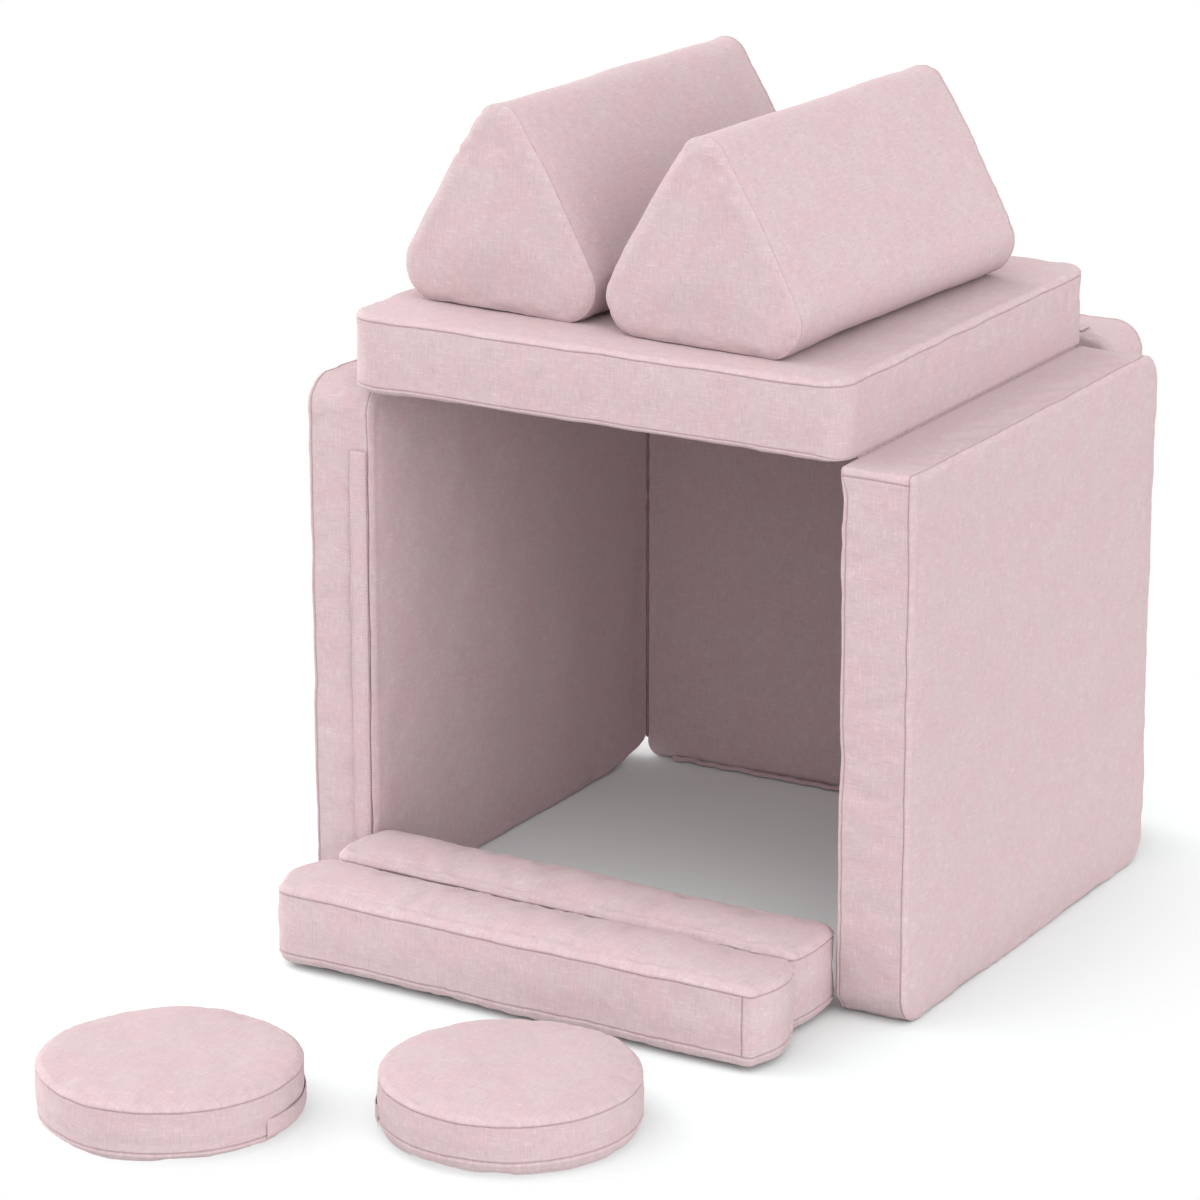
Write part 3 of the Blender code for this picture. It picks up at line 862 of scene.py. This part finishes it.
bar_radii = [bar_corner_radius, bar_joined_radius, bar_corner_radius, bar_corner_radius]
bar_arcs = [even(bar_arc_steps)] * 4
for name, half_length, bows, seed in (
    ("far_bar", bar_half_length, far_bar_bows, 71),
    ("near_bar", bar_half_length + near_bar_longer, near_bar_bows, 83),
):
    side_length = 2 * half_length - bar_corner_radius - bar_joined_radius
    front_side = joined(bar_side_steps, side_length, bar_join_distance)
    end_side = even(bar_end_steps)
    bar_sides = [front_side, end_side, mirrored(front_side), end_side]
    low, high, middle = packed_box(name + "_cover")
    middle.z = high.z - bar_half_height
    turn = bar_turns[name]
    corners = rectangle(half_length, bar_half_width, bar_radii)
    plan = plan_outline(corners, bar_arcs, bar_sides, bows)
    form = Cover(
        plan, bar_half_height, bar_crown, bar_set_downs, bar_roll_in, strip_fall, bar_rings
    )
    join = form.round[len(bar_arcs[0]) + len(front_side) - len(beside_join) // 2 - 1]
    u = (math.cos(turn), math.sin(turn), 0.0)
    v = (-math.sin(turn), math.cos(turn), 0.0)
    matrix = standing(u, v, middle)
    shape = bar_shape(half_length)
    form.sew(name, matrix, shape, seed, bar_settling, bar_relief, (join,), 0.0)


# The round cushions' covers
# Discs of foam with a round panel above and below and a narrow side strip, drawn up a little, so
# that the lower panel shows as a band under the strip.

disc_radius = 0.1555
disc_half_height = 0.041
disc_crown = 0.005
disc_upper_set_down = 0.010
disc_roll_in = 0.011
disc_level_rim = 0.010
disc_rings = np.array([0.004, 0.009, 0.015, 0.022])
disc_relief = 1.2
disc_settling = (0.0055, 0.0020, 1.0)
disc_arc_steps = 60


def disc_shape(p):
    """Fullest in the middle."""
    return np.clip(1 - (np.linalg.norm(p, axis=1) / (disc_radius - disc_level_rim)) ** 3, 0.0, 1.0)


disc_arcs = [even(disc_arc_steps)] * 4
disc_sides = [even(0)] * 4
disc_corners = rectangle(disc_radius, disc_radius, [disc_radius] * 4)
disc_plan = plan_outline(disc_corners, disc_arcs, disc_sides)
for name, lower_set, seed in (("left_disc", 0.012, 91), ("right_disc", 0.019, 103)):
    low, high, middle = packed_box(name + "_cover")
    middle.z = high.z - disc_half_height
    set_downs = (disc_upper_set_down, lower_set)
    form = Cover(
        disc_plan, disc_half_height, disc_crown, set_downs, disc_roll_in, strip_fall, disc_rings
    )
    matrix = Matrix.Translation(middle)
    form.sew(name, matrix, disc_shape, seed, disc_settling, disc_relief, rest=0.0)


# The zip flaps, their stitches and the zips' teeth
# Over each zip lies a folded strip of the cover's cloth, sewn down along its foot and at both ends,
# with a hemmed lip that gapes a little. A row of stitches runs along foot and hem; beneath it the
# coil's teeth stand across the tape, next to the seam of a panel.

flap_half_width = 0.012
flap_rise = 0.0031
flap_cloth_thickness = 0.0011
flap_step = 0.005
stitch_rows = (0.0103, -0.0098)
stitch_step = 0.0042
stitch_size = (0.0034, 0.0009, 0.0007)
tooth_step = 0.0022
tooth_size = (0.0013, 0.0046, 0.0010)
tooth_depth = -0.0012
wedge_zip_steeper = 0.040
stitch_dent = 0.0004
stitch_dent_width = 0.0009
stitch_wander = 0.00015
stitch_end_gap = 0.004
flap_end_reach = 0.007
flap_sway_length = 0.09
flap_sway = 0.0005
flap_gape_length = 0.16
flap_gape = 0.0009
painted_hem_shadow_width = 0.0007
stitch_mark_width = 0.0008
flap_upper_level = 0.0006
nose_girth = 0.001
disc_flap_sink = 0.0004
disc_flap_degrees = 170.0


def plain_finish(name, light, dark, roughness, metallic, scale):
    """A fine mottle and a matching bump, on the piece's own coordinates."""
    material, tree = blank_material(name)
    spot = tree.add("ShaderNodeTexCoord").other("Object")
    speck = tree.add("ShaderNodeTexNoise", None, {"Vector": spot, "Scale": scale, "Detail": 3.0})
    tone = tree.mix(speck, (*light, 1.0), (*dark, 1.0))
    bump = tree.add("ShaderNodeBump", None, {"Strength": 0.5, "Distance": 1.0, "Height": speck * 0.0003})
    skin = {"Base Color": tone, "Roughness": roughness, "Metallic": metallic, "Normal": bump}
    surface = tree.add("ShaderNodeBsdfPrincipled", None, skin)
    tree.add("ShaderNodeOutputMaterial", None, {"Surface": surface})
    return material


def repeat_group():
    """Node group: sets a small rounded piece at even steps along a line, turned to follow it."""
    group = bpy.data.node_groups.new("repeat_along", "GeometryNodeTree")
    tree = Tree(group)
    sockets = {}
    for name, kind in (
        ("Line", "Geometry"), ("Step", "Float"), ("Size", "Vector"),
        ("Wander", "Float"), ("Seed", "Int"), ("Finish", "Material"),
    ):
        socket = group.interface.new_socket(name, in_out="INPUT", socket_type="NodeSocket" + kind)
        sockets[name] = socket.identifier
    group.interface.new_socket("Pieces", in_out="OUTPUT", socket_type="NodeSocketGeometry")
    given = tree.add("NodeGroupInput")
    curve = tree.add("GeometryNodeMeshToCurve", None, {"Mesh": given.other("Line")})
    steps = {"Curve": curve, "Length": given.other("Step")}
    places = tree.add("GeometryNodeResampleCurve", {"mode": "LENGTH"}, steps)
    course = tree.add("GeometryNodeInputTangent")
    vectors = {"data_type": "FLOAT_VECTOR"}
    outward = tree.add("GeometryNodeInputNamedAttribute", vectors, {"Name": "outward"})
    along = tree.add("FunctionNodeAlignRotationToVector", {"axis": "X"}, {"Vector": course})
    tilt = {"axis": "Z", "pivot_axis": "X"}
    facing = tree.add("FunctionNodeAlignRotationToVector", tilt, {"Rotation": along, "Vector": outward})
    grain = tree.add("GeometryNodeMeshUVSphere", None, {"Segments": 6, "Rings": 4, "Radius": 0.5})
    rounded = tree.add("GeometryNodeSetShadeSmooth", None, {0: grain})
    copies = {"Points": places, "Instance": rounded, "Rotation": facing, "Scale": given.other("Size")}
    rows = tree.add("GeometryNodeInstanceOnPoints", None, copies)
    limits = {0: (-1, -1, -1), 1: (1, 1, 1), "Seed": given.other("Seed")}
    dice = tree.add("FunctionNodeRandomValue", vectors, limits)
    scaled = {0: dice, "Scale": given.other("Wander")}
    shift = tree.add("ShaderNodeVectorMath", {"operation": "SCALE"}, scaled)
    moved = tree.add("GeometryNodeTranslateInstances", None, {0: rows, "Translation": shift})
    solid = tree.add("GeometryNodeRealizeInstances", None, {0: moved})
    finished = {"Geometry": solid, "Material": given.other("Finish")}
    done = tree.add("GeometryNodeSetMaterial", None, finished)
    tree.add("NodeGroupOutput", None, {0: done})
    return group, sockets


repeat, repeat_sockets = repeat_group()


def repeat_along(name, lines, step, size, wander, seed, finish):
    """One mesh of small pieces along some lines; each line is its points and their outward sides."""
    mesh = bpy.data.meshes.new(name)
    first, edges = 0, []
    for points, _ in lines:
        edges += [(first + k, first + k + 1) for k in range(len(points) - 1)]
        first += len(points)
    mesh.from_pydata(np.concatenate([points for points, _ in lines]).tolist(), edges, [])
    outward = np.concatenate([sides for _, sides in lines])
    mesh.attributes.new("outward", "FLOAT_VECTOR", "POINT").data.foreach_set("vector", outward.ravel())
    row = put(name, mesh)
    modifier = row.modifiers.new("repeat", "NODES")
    modifier.node_group = repeat
    given = {"Step": step, "Size": size, "Wander": wander, "Seed": seed, "Finish": finish}
    for key, value in given.items():
        modifier[repeat_sockets[key]] = value
    row.update_tag()
    bake(row)
    return row


def straight_run(foot, along, across, out):
    """Turns distance along, across and outwards into points beside a straight line."""
    axes = np.array([along, across, out], float)

    def run(a, s, n):
        points = foot + np.stack([a, s, n], -1) @ axes
        return points, np.broadcast_to(axes[2], points.shape)

    return run


def round_run(centre, radius, start):
    """The same beside a level arc round a cushion, with its foot downwards."""

    def run(a, s, n):
        angle = start + a / radius
        out = np.stack([np.cos(angle), np.sin(angle), np.zeros_like(angle)], -1)
        points = np.array(centre) + out * (radius + n)[..., None]
        points[..., 2] -= s
        return points, out

    return run


def swept_cloth(name, body, points, along, girth, cap, mark):
    """A strip of cloth closed round rings of points; cap is an end's place on the cut cloth."""
    count = points.shape[1]
    faces, places = [], []
    for r in range(len(points) - 1):
        here, after = r * count, (r + 1) * count
        for k in range(count):
            j = (k + 1) % count
            faces.append((here + k, here + j, after + j, after + k))
            places += [(along[r + d], girth[k + e]) for d, e in ((0, 0), (0, 1), (1, 1), (1, 0))]
    last = (len(points) - 1) * count
    faces += [tuple(range(count))[::-1], tuple(last + k for k in range(count))]
    places += cap[::-1] + cap
    mesh = bpy.data.meshes.new(name)
    mesh.from_pydata(points.reshape(-1, 3).tolist(), [], faces)
    mark_cloth(mesh, places, np.tile(mark, len(points)))
    outside = bmesh.new()
    outside.from_mesh(mesh)
    bmesh.ops.recalc_face_normals(outside, faces=outside.faces)
    outside.to_mesh(mesh)
    outside.free()
    mesh.materials.append(cover_cloth)
    strip = put(name, mesh)
    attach(strip, body)
    return strip


def make_flap(name, run, first, last, seed):
    """The flap between two distances along its run, its stitches, and the teeth beneath it."""
    share = np.linspace(1.0, -1.0, 23)
    rise = flap_rise * (1 - 0.72 * np.clip(share, 0, 1) ** 4 - 0.25 * np.clip(-share, 0, 1) ** 6)
    for row in stitch_rows:
        rise -= stitch_dent * hump(share * flap_half_width - row, stitch_dent_width)
    nose = (rise[-1] - flap_cloth_thickness / 2, rise[0] - flap_cloth_thickness / 2)
    across = np.concatenate([share, [-1.04], share[::-1], [1.03]]) * flap_half_width
    level = np.concatenate([rise, nose[:1], rise[::-1] - flap_cloth_thickness, nose[1:]])
    stations = np.linspace(first, last, int((last - first) / flap_step) + 1)
    sewn = 1 - 0.55 * hump(np.minimum(stations - first, last - stations), flap_end_reach)
    lip = np.clip(-across / flap_half_width, 0, 1) ** 2
    sway = ripples(stations[:, None], flap_sway_length, seed) * flap_sway
    gape = np.abs(ripples(stations[:, None], flap_gape_length, seed + 1)) * flap_gape
    a = np.repeat(stations[:, None], len(across), 1)
    s = across[None, :] + sway[:, None] * lip[None, :]
    n = level[None, :] * sewn[:, None] + gape[:, None] * lip[None, :] * (sewn[:, None] > 0.9)
    points, _ = run(a, s, n)
    girth = np.concatenate([[0.0], np.cumsum(np.hypot(np.diff(across), np.diff(level)))])
    cap = [(place, 0.0) for place in girth]
    girth = np.append(girth, girth[-1] + nose_girth)
    # Painted shadow lines along the flap's foot and lip edges, painted shade on its underside where it
    # lies below the cover, and darker lines along the stitch rows.
    mark = np.maximum(hump(np.abs(across) - flap_half_width, painted_hem_shadow_width), 0.3 * (level < 0.0))
    for row in stitch_rows:
        stitched = hump(across - row, stitch_mark_width) * (level > flap_upper_level)
        mark = np.maximum(mark, 0.35 * stitched)
    flap = swept_cloth(name + "_zip_flap_cloth", name, points, stations, girth, cap, mark)
    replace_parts(flap, name + "_zip_flap")

    ends = np.linspace(first + stitch_end_gap, last - stitch_end_gap, len(stations))
    lines = []
    for row in stitch_rows:
        height = np.interp(-row, -share * flap_half_width, rise) + gape * (row < 0.0)
        lines.append(run(ends, np.full(len(ends), row), height * sewn))
    stitches = repeat_along(
        name + "_stitches", lines, stitch_step, stitch_size, stitch_wander, seed, thread
    )
    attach(stitches, name)
    teeth_line = run(ends, np.zeros(len(ends)), np.full(len(ends), tooth_depth))
    teeth = repeat_along(name + "_zip_teeth", [teeth_line], tooth_step, tooth_size, 0.0, seed, coil)
    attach(teeth, name)


def straight_flap(name, along, across, out, seed, rise=None):
    """A flap over a straight zip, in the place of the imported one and, without a rise, as thick."""
    low, high, middle = map(np.array, packed_box(name + "_zip_flap"))
    half = (high - low)[np.abs(along).argmax()] / 2
    rise = abs((high - low) @ out) if rise is None else rise
    make_flap(name, straight_run(middle - out * rise / 2, along, across, out), -half, half, seed)


thread = plain_finish("sewing_thread", (0.64, 0.50, 0.52), (0.54, 0.41, 0.43), 0.7, 0.0, 2500.0)
coil = plain_finish("zip_coil", (0.60, 0.46, 0.48), (0.50, 0.38, 0.40), 0.45, 0.0, 2500.0)
left, right, near, far, up, down = (
    np.array(axis) for axis in ((-1, 0, 0), (1, 0, 0), (0, -1, 0), (0, 1, 0), (0, 0, 1), (0, 0, -1))
)
for name, along, across, out, seed in (
    ("left_wall", up, right, near, 131),
    ("rear_wall", right, near, up, 137),
    ("right_wall", up, left, far, 139),
    ("roof", right, down, far, 149),
):
    straight_flap(name, along, across, out, seed)
for (name, turn), seed in zip(bar_turns.items(), (151, 157)):
    along = np.array([math.cos(turn), math.sin(turn), 0.0])
    out = np.array([-math.sin(turn), math.cos(turn), 0.0])
    straight_flap(name, along, down, out, seed, flap_rise)
for (name, base), seed in zip(wedge_bases.items(), (163, 167)):
    along = np.array([math.sin(wedge_turn), -math.cos(wedge_turn), 0.0])
    level = np.array([math.cos(wedge_turn), math.sin(wedge_turn), 0.0])
    slope = math.atan2(wedge_height, base / 2) + wedge_zip_steeper
    down_slope = -level * math.cos(slope) + down * math.sin(slope)
    out = -level * math.sin(slope) + up * math.cos(slope)
    straight_flap(name, along, down_slope, out, seed, flap_rise)
for name, start_deg, seed in (("left_disc", -10.0, 173), ("right_disc", 50.0, 179)):
    low, high, middle = packed_box(name + "_cover")
    middle.z = packed_box(name + "_zip_flap")[2].z
    run = round_run(middle, disc_radius - disc_flap_sink, math.radians(start_deg))
    make_flap(name, run, 0.0, disc_radius * math.radians(disc_flap_degrees), seed)


# The cloth hinges and the rear wall's lower lip
# The edges of two mats are sewn to each other through a rolled strip of the same cloth, which
# fills the corner between them: down the inner corner, and along the right wall's top. The same
# roll, looser and puckered, comes out under the rear wall where its inner panel meets the floor.

welt_radius = 0.0020
welt_clearance = 0.006
welt_foot_reach = 0.012
# Painted shade darkens the welts in the corners between the mats, the inner corner most, and lightly
# darkens the rear wall's lip where it lies on the floor.
wall_hinge_shade = 2.2
roof_hinge_shade = 1.3
lip_shade = 0.3
lip_radius = 0.0036
lip_inset = 0.045
lip_wander = 0.0012
lip_wave = 0.045
lip_lift = 0.0006
lip_slack_reach = 0.06
roll_wave = 0.03
roll_steps = 12
roll_girth_step = 0.001
welt_steps = 121
lip_steps = 141


def rolled_strip(name, body, line, radius, seed, shade):
    """A roll of cloth along a line of points, a little uneven; shade is how much painted shade darkens it.
    """
    course = np.gradient(line, axis=0)
    course /= np.linalg.norm(course, axis=1)[:, None]
    side = np.cross(course, np.roll(course, 1, axis=1) + np.array([0.3, 0.2, 0.1]))
    side /= np.linalg.norm(side, axis=1)[:, None]
    other = np.cross(course, side)
    along = np.concatenate([[0.0], np.cumsum(np.linalg.norm(np.diff(line, axis=0), axis=1))])
    girth = radius * (1 + 0.10 * ripples(along[:, None], roll_wave, seed))
    turns = np.arange(roll_steps) * 2 * math.pi / roll_steps
    points = line[:, None] + girth[:, None, None] * (
        side[:, None] * np.cos(turns)[None, :, None] + other[:, None] * np.sin(turns)[None, :, None]
    )
    cap = [(roll_girth_step * math.cos(turn), roll_girth_step * math.sin(turn)) for turn in turns]
    cut = np.arange(roll_steps + 1) * roll_girth_step
    return swept_cloth(name, body, points, along, cut, cap, np.full(roll_steps, shade))


for node, body, axis, clearance, shade, seed in (
    ("wall_hinge_welt", "left_wall", 2, -welt_foot_reach, wall_hinge_shade, 181),
    ("roof_hinge_welt", "right_wall", 1, welt_clearance, roof_hinge_shade, 191),
):
    low, high, middle = packed_box(node)
    line = np.tile(np.array(middle), (welt_steps, 1))
    line[:, axis] = np.linspace(low[axis] + clearance, high[axis] - welt_clearance, welt_steps)
    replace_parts(rolled_strip(node + "_cloth", body, line, welt_radius, seed, shade), node)

# The lip is lightly darkened with painted contact shade.
low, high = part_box("rear_wall_cover")
line = np.zeros((lip_steps, 3))
line[:, 0] = np.linspace(low.x + lip_inset, high.x - lip_inset, lip_steps)
slack = 1 + 2 * np.exp(-(line[:, 0] - low.x - lip_inset) / lip_slack_reach)
line[:, 1] = low.y - 0.3 * lip_radius + ripples(line[:, :1], lip_wave, 197) * lip_wander * slack
line[:, 2] = lip_radius * 1.15 + np.abs(ripples(line[:, :1], roll_wave, 199)) * lip_lift * slack
rolled_strip("rear_wall_lip_cloth", "rear_wall", line, lip_radius, 211, lip_shade)


# The foam blocks
# Cut foam in the shape of its cover and a few millimetres smaller, hidden inside it.

foam_gap = 0.003
foam_share = 0.05

cream_foam = plain_finish("cream_foam", (0.80, 0.76, 0.64), (0.70, 0.65, 0.51), 0.9, 0.0, 900.0)
for node in sorted(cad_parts):
    if not node.endswith("_foam"):
        continue
    name = node[:-len("_foam")]
    mesh = bpy.data.objects[name + "_cloth"].data.copy()
    mesh.materials.clear()
    inside = rows_of(mesh.vertices, "co") - rows_of(mesh.vertex_normals, "vector") * foam_gap
    mesh.vertices.foreach_set("co", inside.ravel())
    block = put(name + "_block", mesh)
    thin = block.modifiers.new("thin", "DECIMATE")
    thin.ratio = foam_share
    mesh = bake(block)
    mesh.materials.append(cream_foam)
    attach(block, name)
    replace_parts(block, node)


# The zip tapes and the sliders
# Woven tape in a slot of the side strip, and a cast metal slider with its pull tab. They stay as
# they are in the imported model.

tape_weave = plain_finish("zip_tape", (0.56, 0.41, 0.43), (0.46, 0.33, 0.35), 0.6, 0.0, 1500.0)
slider_metal = plain_finish("slider_metal", (0.66, 0.64, 0.64), (0.52, 0.50, 0.50), 0.35, 1.0, 600.0)
for node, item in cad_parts.items():
    if node.endswith("_zip") or node.endswith("_slider"):
        for holder in item.material_slots:
            holder.material = tape_weave if node.endswith("_zip") else slider_metal
